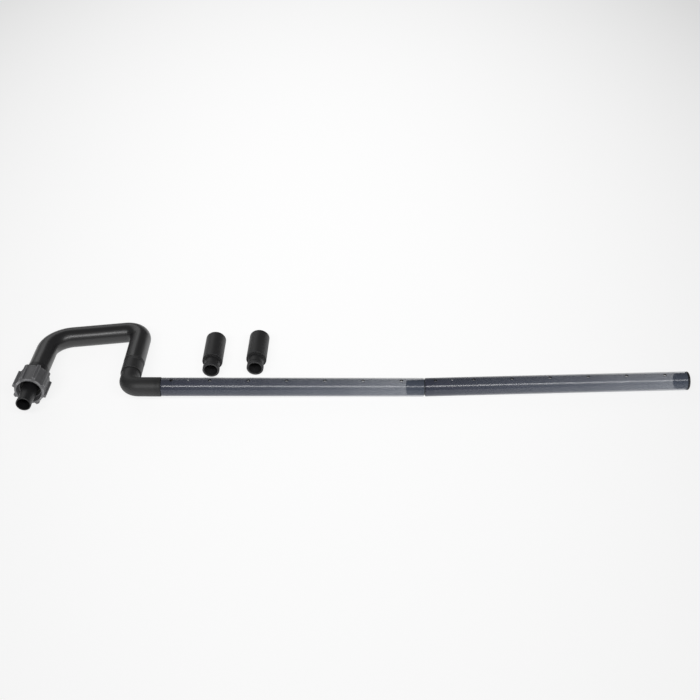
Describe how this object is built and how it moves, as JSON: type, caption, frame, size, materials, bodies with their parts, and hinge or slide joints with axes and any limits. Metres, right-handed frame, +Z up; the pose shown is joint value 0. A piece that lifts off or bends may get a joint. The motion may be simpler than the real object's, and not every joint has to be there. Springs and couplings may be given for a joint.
{
  "type": "aquarium filter outlet spray bar set",
  "caption": "Bent black outlet pipe with hose nut and elbow feeding two smoky perforated bars in line, with loose adapters beside it.",
  "frame": {"origin": "centre of the set's bounding box, on the table that it lies on", "axes": "+X along the bars from the elbow to the end plug, +Y from the bars towards the top run of the bent pipe, +Z up from the table"},
  "size_m": [0.7266, 0.1474, 0.038],
  "materials": {
    "satin_black": "satin black extruded and bent pipe",
    "moulded_black": "charcoal moulded plastic, softly shiny",
    "nut_grey": "mid grey moulded plastic with worn rib edges",
    "smoky_blue": "smoky blue-grey translucent tube, paler towards the far end",
    "rubber": "matt black rubber"
  },
  "bodies": {
    "outlet_pipe": {"u_bend": "satin_black", "hose_tail": "moulded_black", "hose_gasket": "rubber", "coupling": "moulded_black"},
    "clamp_ring": {"clamp_ring": "nut_grey"},
    "union_nut": {"union_nut": "nut_grey"},
    "coupling_ring": {"coupling_o_ring": "rubber"},
    "elbow": {"elbow": "moulded_black"},
    "bar_1_ring": {"bar_1_o_ring": "rubber"},
    "bar_1": {"bar_1": "smoky_blue", "bar_1_spigot": "moulded_black"},
    "bar_2_ring": {"bar_2_o_ring": "rubber"},
    "bar_2": {"bar_2": "smoky_blue", "bar_2_spigot": "moulded_black"},
    "plug_ring": {"plug_o_ring": "rubber"},
    "end_plug": {"end_plug": "moulded_black"},
    "adapter_1": {"adapter_1": "moulded_black", "adapter_1_o_ring": "rubber"},
    "adapter_2": {"adapter_2": "moulded_black", "adapter_2_o_ring": "rubber"}
  },
  "joints": [
    {"name": "nut_travel", "type": "slide", "parent": "outlet_pipe", "child": "clamp_ring", "axis": [-0.0129, -0.9965, 0.0824], "range_m": [0, 0.01226]},
    {"name": "nut_spin", "type": "hinge", "parent": "clamp_ring", "child": "union_nut", "pos_m": [-0.34533, -0.04731, 0.02001], "axis": [-0.0129, -0.9965, 0.0824], "range_deg": [0, 1260]},
    {"name": "elbow_swivel", "type": "hinge", "parent": "outlet_pipe", "child": "coupling_ring", "pos_m": [-0.24005, -0.04693, 0.0209], "axis": [0.0028, -0.9966, 0.0826], "range_deg": [-150, 150]},
    {"name": "elbow_pull", "type": "slide", "parent": "coupling_ring", "child": "elbow", "axis": [0.0028, -0.9966, 0.0826], "range_m": [0, 0.016]},
    {"name": "bar_1_pull", "type": "slide", "parent": "elbow", "child": "bar_1_ring", "axis": [0.9994, 0, -0.0342], "range_m": [0, 0.022]},
    {"name": "bar_1_swivel", "type": "hinge", "parent": "bar_1_ring", "child": "bar_1", "pos_m": [0.07861, -0.04693, 0.01], "axis": [0.9994, 0, -0.0342], "continuous": true},
    {"name": "bar_2_pull", "type": "slide", "parent": "bar_1", "child": "bar_2_ring", "axis": [1, 0, 0], "range_m": [0, 0.022]},
    {"name": "bar_2_swivel", "type": "hinge", "parent": "bar_2_ring", "child": "bar_2", "pos_m": [0.07861, -0.04693, 0.01], "axis": [1, 0, 0], "continuous": true},
    {"name": "plug_pull", "type": "slide", "parent": "bar_2", "child": "plug_ring", "axis": [1, 0, 0], "range_m": [0, 0.016]},
    {"name": "plug_swivel", "type": "hinge", "parent": "plug_ring", "child": "end_plug", "pos_m": [0.07861, -0.04693, 0.01], "axis": [1, 0, 0], "continuous": true},
    {"name": "adapter_1_lift", "type": "slide", "parent": "outlet_pipe", "child": "adapter_1", "axis": [0, 0, 1], "range_m": [0, 0.1]},
    {"name": "adapter_2_lift", "type": "slide", "parent": "outlet_pipe", "child": "adapter_2", "axis": [0, 0, 1], "range_m": [0, 0.1]}
  ],
  "couplings": [
    {"joint": "nut_travel", "follows": "nut_spin", "m_per_rad": 0.00055704}
  ]
}
